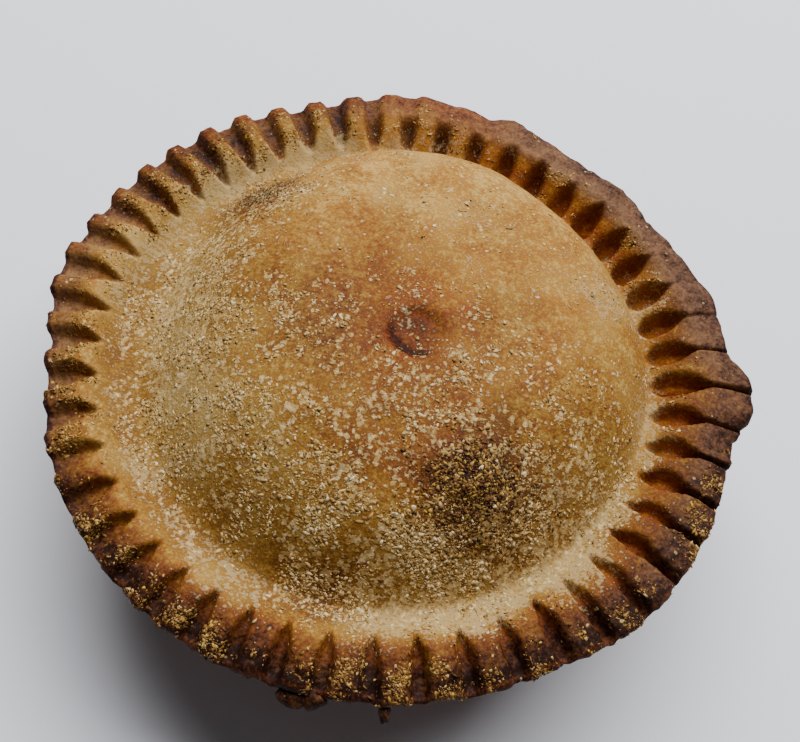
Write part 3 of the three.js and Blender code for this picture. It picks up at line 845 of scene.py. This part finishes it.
# %% The crust's finish
def crust_finish():
    finish = Finish("baked_crust")
    bake, flour, grit = finish.mask("bake"), finish.mask("flour"), finish.mask("grit")
    broad = finish.noise(BROAD_MM, 1.0) - 0.5
    mottle = finish.noise(MOTTLE_MM, 3.0, 0.6) - 0.5
    speckle = finish.noise(SPECKLE_MM, 2.0, 0.6) - 0.5
    grain = finish.noise(GRAIN_MM, 1.0) - 0.5
    level = bake + broad * 0.22 + mottle * 0.60 + speckle * 0.85 + grain * 0.60 + grit * 0.12
    crust_colour = finish.ramp(level, CRUST_STOPS)
    amber = finish.mask("amber") + mottle * 0.6 + speckle * 0.7
    crust_colour = finish.mix(amber, crust_colour, finish.ramp(level, AMBER_STOPS))
    crust_colour = finish.mix(finish.mask("ash"), crust_colour, finish.ramp(level, ASH_STOPS))
    film = (flour + mottle * 0.8 + grain * 1.3 + speckle * 1.6).above(FILM_LEVEL, FILM_SOFTNESS)
    film = film * FILM_THICKNESS * flour.above(0.12, 0.08)
    crust_colour = finish.mix(film, crust_colour, (*FLOUR_FILM, 1))
    cell, gap = finish.cells(FLAKE_MM, "Color"), finish.cells(FLAKE_MM, "Distance")
    flake = cell + grit * 0.85 + mottle * 1.8 + speckle * 0.8 - gap * 0.5
    flake = flake.above(FLAKE_LEVEL, FLAKE_SOFTNESS)
    flake = flake * (1 - finish.mask("bare") * 0.85)
    pale = finish.ramp(cell * 0.9 + speckle * 1.5 + grain - bake * 0.6 + 0.1, FLAKE_STOPS)
    crust_colour = finish.mix(flake * FLAKE_THICKNESS, crust_colour, pale)
    finish.set(Base_Color=crust_colour, Roughness=0.62 + flour * 0.25, Specular_IOR_Level=0.08)
    finish.bump(speckle * 0.8 + grain * 0.7 + flake * 0.5 - gap * 0.3, RELIEF_MM)
    return finish.material


crust.data.materials.append(crust_finish())
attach(crust, "root")
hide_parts("pie")

# %% [markdown]
# ## Scraps under the rim
#
# Bits of pastry squeezed out under the near edge and baked hard. The solid has them too;
# here they are rougher. A ball is pushed and pulled at its corners, then flattened along
# the rim's edge.

# %% Scraps of pastry: turn, distance, and half-sizes along, out and down
SCRAPS = [(264.5, 52.1, 2.1, 1.5, 1.3), (267.6, 51.6, 1.7, 1.6, 1.5), (277.6, 52.4, 0.8, 1.7, 1.0)]
SCRAP_HEIGHT = RIM_HEIGHT - RIM_THICKNESS


def make_scraps():
    shape = bmesh.new()
    for number, (turn, radius, along, out, down) in enumerate(SCRAPS):
        ball = bmesh.ops.create_icosphere(shape, subdivisions=3, radius=1)["verts"]
        angle = math.radians(turn)
        for corner in ball:
            x, y, z = corner.co
            rough = 1 + 0.22 * float(ripple(x * 2 + 5 * number, y * 2 + z, 0.9, 28))
            far, aside = radius + out * rough * x, along * rough * y
            corner.co = (far * math.cos(angle) - aside * math.sin(angle),
                         far * math.sin(angle) + aside * math.cos(angle), SCRAP_HEIGHT + down * rough * z)
    mesh = make_mesh("scraps", shape)
    mesh.transform(Matrix.Scale(MM, 4))
    write_mask(mesh, "bake", np.full(len(mesh.vertices), 0.86))
    mesh.polygons.foreach_set("use_smooth", [True] * len(mesh.polygons))
    piece = add_object("scraps", mesh)
    mesh.materials.append(crust_mesh.materials[0])
    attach(piece, "root")
    print("scraps:", len(mesh.polygons), "faces")


make_scraps()

# %% [markdown]
# ## Grains, thousands of them
#
# The semolina on the lid catches the eye, and it is not a pattern but things: flat
# grains up to about a millimetre across, half sunk in the crust, that throw tiny
# shadows. A few rough flakes are made once, then copied with other sizes and turns by
# array sums. Each kind becomes one mesh.

# %% Rough flakes to copy, and plainer specks for the finest grains
def rough_flakes(count, seed, flatness, rings):
    flakes = []
    rng = np.random.default_rng(seed)
    for _ in range(count):
        shape = bmesh.new()
        if rings:
            bmesh.ops.create_icosphere(shape, subdivisions=rings, radius=1)
        else:
            bmesh.ops.create_uvsphere(shape, u_segments=4, v_segments=2, radius=1)
        points = np.array([list(v.co) for v in shape.verts])
        faces = np.array([[v.index for v in f.verts] for f in shape.faces])
        shape.free()
        points *= rng.uniform(0.4, 1.25, (len(points), 1))
        points *= (rng.uniform(0.9, 1.5), rng.uniform(0.5, 1.0), flatness * rng.uniform(0.7, 1.3))
        flakes.append(points)
    return np.array(flakes), faces


FLAKES = rough_flakes(24, 5, 0.2, 1)
SPECKS = rough_flakes(24, 6, 0.24, 0)
print("triangles in a flake:", len(FLAKES[1]), "and in a speck:", len(SPECKS[1]))


# %% The crust's faces, where grains can land
def corners_in_order():
    """Four corners of each face, from its lowest number on; a triangle repeats its last.

    The spin leaves its faces in another order each time, so they are sorted here.
    """
    count = len(crust_mesh.polygons)
    starts, sizes = np.empty(count, int), np.empty(count, int)
    corners = np.empty(len(crust_mesh.loops), int)
    crust_mesh.polygons.foreach_get("loop_start", starts)
    crust_mesh.polygons.foreach_get("loop_total", sizes)
    crust_mesh.loops.foreach_get("vertex_index", corners)
    starts, sizes = starts[:, None], sizes[:, None]
    steps = np.minimum(np.arange(4), sizes - 1)
    lowest = corners[starts + steps].argmin(1)[:, None]
    table = corners[starts + (lowest + steps) % sizes]
    return table[np.lexsort(table.T[::-1])]


FACE_CORNERS = corners_in_order()
CRUST_POINTS = read_points(crust_mesh) / MM
FIRST, SECOND, THIRD, LAST = (CRUST_POINTS[corner] for corner in FACE_CORNERS.T)
FACE_MIDDLE = (FIRST + SECOND + THIRD + LAST) / 4
FACE_ACROSS, FACE_ALONG = SECOND - FIRST, LAST - FIRST
CROSSED = np.cross(THIRD - FIRST, LAST - SECOND)
FACE_AREA = np.linalg.norm(CROSSED, axis=1) / 2
FACE_NORMAL = CROSSED / np.maximum(2 * FACE_AREA, 1e-12)[:, None]
FACE_X, FACE_Y = FACE_MIDDLE[:, 0], FACE_MIDDLE[:, 1]
FACE_RADIUS = np.hypot(FACE_X, FACE_Y)
FACE_ANGLE = np.degrees(np.arctan2(FACE_Y, FACE_X)) % 360
FACE_UP = FACE_NORMAL[:, 2] > 0.1
FACE_BAKE = masks["bake"][FACE_CORNERS[:, 0]]
FACE_SECTION = dent_section(at["phase"][FACE_CORNERS[:, 0]],
                            dent_width(ring_radius(FACE_RADIUS, FACE_ANGLE), FACE_ANGLE))


def face_tree():
    tree = KDTree(len(FACE_MIDDLE))
    for number, middle in enumerate(FACE_MIDDLE):
        tree.insert(middle, number)
    tree.balance()
    return tree


FACE_TREE = face_tree()


# %% Scattering: clumps first, then the grains of each clump
GRAIN_RISE = -0.03
MOSTLY_SMALL = 2.4


def landing_faces(count, density, clump, spread, rng):
    """The faces that grains land on, in clumps of about `clump` grains."""
    chances = np.clip(density, 0, None) * FACE_AREA * FACE_UP
    centres = rng.choice(len(chances), max(1, count // clump), p=chances / chances.sum())
    around = np.repeat(centres, clump)[:count]
    aims = FACE_MIDDLE[around] + rng.normal(0, spread, (len(around), 3)) * (clump > 1)
    return np.array([FACE_TREE.find(aim)[1] for aim in aims])


def frames_on(normals, rng, tilt):
    """Three axes for each grain: its flat side lies on the crust, more or less."""
    up = normals + rng.normal(0, tilt, normals.shape)
    up /= np.linalg.norm(up, axis=1)[:, None]
    side = np.cross(up, rng.normal(size=up.shape))
    side /= np.linalg.norm(side, axis=1)[:, None]
    return np.stack([side, np.cross(up, side), up], 2)


def scatter(name, count, sizes, density, seed, kinds=FLAKES, clump=1, spread=0.5, tilt=0.22):
    shapes, shape_faces = kinds
    rng = np.random.default_rng(seed)
    faces = landing_faces(count, density, clump, spread, rng)
    count = len(faces)
    size = sizes[0] + (sizes[1] - sizes[0]) * rng.random(count) ** MOSTLY_SMALL
    across, along = rng.random((2, count, 1)) - 0.5
    middle = FACE_MIDDLE[faces] + across * FACE_ACROSS[faces] + along * FACE_ALONG[faces]
    middle = middle + FACE_NORMAL[faces] * (size * GRAIN_RISE)[:, None]
    turns = frames_on(FACE_NORMAL[faces], rng, tilt)
    shape = shapes[rng.integers(0, len(shapes), count)] * (size / 2)[:, None, None]
    points = np.einsum("nij,nkj->nki", turns, shape) + middle[:, None]
    corners = shape_faces[None] + (np.arange(count) * shapes.shape[1])[:, None, None]
    tint = np.repeat(rng.random(count), shapes.shape[1])
    ground = np.repeat(FACE_BAKE[faces], shapes.shape[1])
    return grain_piece(name, points.reshape(-1, 3) * MM, corners.reshape(-1, 3), tint, ground)


def grain_piece(name, points, corners, tint, ground):
    mesh = bpy.data.meshes.new(name)
    mesh.vertices.add(len(points))
    mesh.vertices.foreach_set("co", points.ravel())
    mesh.loops.add(corners.size)
    mesh.loops.foreach_set("vertex_index", corners.ravel())
    mesh.polygons.add(len(corners))
    mesh.polygons.foreach_set("loop_start", np.arange(0, corners.size, 3))
    mesh.update(calc_edges=True)
    write_mask(mesh, "tint", tint)
    write_mask(mesh, "bake", ground)
    piece = add_object(name, mesh)
    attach(piece, "root")
    print(name, len(corners), "triangles")
    return piece


# %% [markdown]
# ## Where the grains lie
#
# The dusting is thick over the near half of the lid and along its left shoulder, and
# thin on the far right. On the rim the crumbs cling to the ridges and pile up along the
# near edge. The toasted lump has its own dark crumbs, and two patches carry flakes.

# %% Where each kind of grain is thick or thin
OFF_DENTS = 1 - 0.97 * smoothstep(FACE_SECTION, 0.05, 0.4) * (FACE_RADIUS > 41)
FEW_ON_LID, FEW_ON_RIM = 0.05, 0.02
CRUMB_REGIONS = [(250, 46, 1.3, 4, 47, NO_LIMIT, 1.5), (322, 20, 1.2, 4, 49.5, NO_LIMIT, 1),
                 (160, 56, 0.55, 4, 43, 50.5, 1), (38, 22, 0.9, 4, 41.5, 45.5, 0.8)]
FLAKE_PATCHES = [(*FLAKY_PATCH[:2], 5.6, 1), (*DRY_PATCH[:2], 4.2, 0.25)]


def lid_density():
    x, y = FACE_X, FACE_Y
    patchy = np.clip(0.15 + 1.1 * ripple(x, y, 5.5, 30) + 1.5 * ripple(x, y, 1.8, 31), 0.03, 2)
    return patchy * dusting(x, y, FACE_RADIUS, FACE_ANGLE) * OFF_DENTS


def fine_lid_density():
    few = FEW_ON_LID * (FACE_RADIUS < 42) * OFF_DENTS * (1 - 0.9 * in_vent(FACE_X, FACE_Y))
    return lid_density() + few


def rim_density():
    x, y = FACE_X, FACE_Y
    clumps = np.clip(0.12 + 1.1 * ripple(x, y, 3.4, 32) + 1.1 * ripple(x, y, 1.3, 33), 0.02, 2)
    inner = 0.14 * band(FACE_RADIUS, 42.5, 46.5, 1.0)
    return clumps * OFF_DENTS * (inner + regions(CRUMB_REGIONS, FACE_RADIUS, FACE_ANGLE))


def fine_rim_density():
    return rim_density() + FEW_ON_RIM * (FACE_RADIUS > 46) * OFF_DENTS


def lump_density():
    x, y = FACE_X, FACE_Y
    return spot(x, y, *TOASTED_LUMP[:2], 5.4) * (0.6 + 0.4 * ripple(x, y, 1.5, 34))


def patch_density():
    return patches(FLAKE_PATCHES, FACE_X, FACE_Y)


# %% [markdown]
# ## Finishes for the grains
#
# One grain of semolina is cream, the next nearly the colour of the crust, a third
# toasted. Every grain carries its own random number, its tint, and how far the crust
# under it is baked. The finish turns the two into a colour.

# %% Grain finishes
LIGHTER_THAN_GROUND = 0.15


def grain_finish(name, stops, soaked):
    """`soaked` is how much of the crust's own colour a grain has taken up."""
    finish = Finish(name)
    own = finish.ramp(finish.mask("tint"), stops)
    ground = finish.ramp(finish.mask("bake") - LIGHTER_THAN_GROUND, CRUST_STOPS)
    finish.set(Base_Color=finish.mix(soaked, own, ground), Roughness=0.6, Specular_IOR_Level=0.2)
    return finish.material


SEMOLINA = [(0.0, colour(132, 98, 50)), (0.35, colour(156, 123, 70)), (0.7, colour(184, 154, 102)),
            (1.0, colour(212, 190, 148))]
GOLD = [(0.0, colour(78, 48, 18)), (0.4, colour(120, 82, 32)), (0.75, colour(156, 116, 54)),
        (0.93, colour(188, 154, 98)), (1.0, colour(184, 148, 44))]
TOAST = [(0.0, colour(54, 30, 12)), (0.5, colour(92, 58, 22)), (0.85, colour(146, 108, 42)),
         (1.0, colour(176, 144, 66))]
FLAKY = [(0.0, colour(92, 70, 40)), (0.5, colour(138, 112, 68)), (1.0, colour(176, 152, 104))]


# %% Scatter every kind: how many, their sizes in millimetres, where, and the random seed
semolina = scatter("semolina", 7600, (0.4, 1.15), lid_density(), 41, clump=4, spread=0.6, tilt=0.16)
fine_semolina = scatter("fine_semolina", 11000, (0.2, 0.5), fine_lid_density(), 42, SPECKS, tilt=0.16)
rim_crumbs = scatter("rim_crumbs", 5600, (0.3, 1.0), rim_density(), 43, clump=8, spread=0.6, tilt=0.3)
fine_crumbs = scatter("fine_crumbs", 6000, (0.16, 0.42), fine_rim_density(), 45, SPECKS)
toasted_crumbs = scatter("toasted_crumbs", 2400, (0.3, 1.1), lump_density(), 44, clump=3, tilt=0.3)
patch_flakes = scatter("patch_flakes", 900, (0.3, 1.1), patch_density(), 46, clump=3, tilt=0.2)

# %% Colour every kind
for piece, name, stops, soaked in [
        (semolina, "semolina_grain", SEMOLINA, 0.2), (fine_semolina, "fine_semolina_grain", SEMOLINA, 0.35),
        (rim_crumbs, "golden_crumb", GOLD, 0.2), (fine_crumbs, "fine_golden_crumb", GOLD, 0.3),
        (toasted_crumbs, "toasted_crumb", TOAST, 0.2), (patch_flakes, "dry_flake", FLAKY, 0.3)]:
    piece.data.materials.append(grain_finish(name, stops, soaked))
    print(piece.name, "wears", name)

# %% [markdown]
# ## Floor, daylight and camera
#
# The pie stands on a plain pale surface before a window: soft light from behind, and a
# deep shadow under the near rim. The camera is close, so the near rim looks larger than
# the far one.

# %% Floor
def make_floor():
    shape = bmesh.new()
    bmesh.ops.create_grid(shape, x_segments=1, y_segments=1, size=3.0)
    mesh = make_mesh("floor", shape)
    floor = add_object("floor", mesh)
    finish = Finish("pale_surface")
    finish.set(Base_Color=(*colour(214, 214, 220), 1), Roughness=0.7)
    mesh.materials.append(finish.material)


make_floor()


# %% Soft daylight
def add_window(name, place_mm, size_mm, watts, tone):
    light = bpy.data.lights.new(name, "AREA")
    light.shape = "RECTANGLE"
    light.size, light.size_y = size_mm[0] * MM, size_mm[1] * MM
    light.energy = watts
    light.color = tone
    lamp = add_object(name, light)
    lamp.location = [side * MM for side in place_mm]
    aim = Vector((0, 0, 20 * MM)) - lamp.location
    lamp.rotation_euler = aim.to_track_quat("-Z", "Y").to_euler()


add_window("window", (110, 520, 770), (1250, 700), 29.0, (0.97, 0.985, 1.0))
world = bpy.data.worlds.new("room")
bpy.context.scene.world = world
world.use_nodes = True
sky = world.node_tree.nodes["Background"].inputs
sky["Color"].default_value = (0.9, 0.93, 1.0, 1)
sky["Strength"].default_value = 0.085


# %% Camera
CAMERA_PLACE = (2.04, -75.43, 151.4)
CAMERA_TILT, CAMERA_ROLL = 29.95, 9.14
LENS_MM = 43.1
camera_data = bpy.data.cameras.new("camera")
camera_data.lens = LENS_MM
camera_data.sensor_width = 36.0
camera_data.clip_start = 0.01
camera = add_object("camera", camera_data)
tilt = Matrix.Rotation(math.radians(CAMERA_TILT), 4, "X")
roll = Matrix.Rotation(math.radians(CAMERA_ROLL), 4, "Z")
camera.matrix_world = Matrix.Translation([side * MM for side in CAMERA_PLACE]) @ tilt @ roll
bpy.context.scene.camera = camera
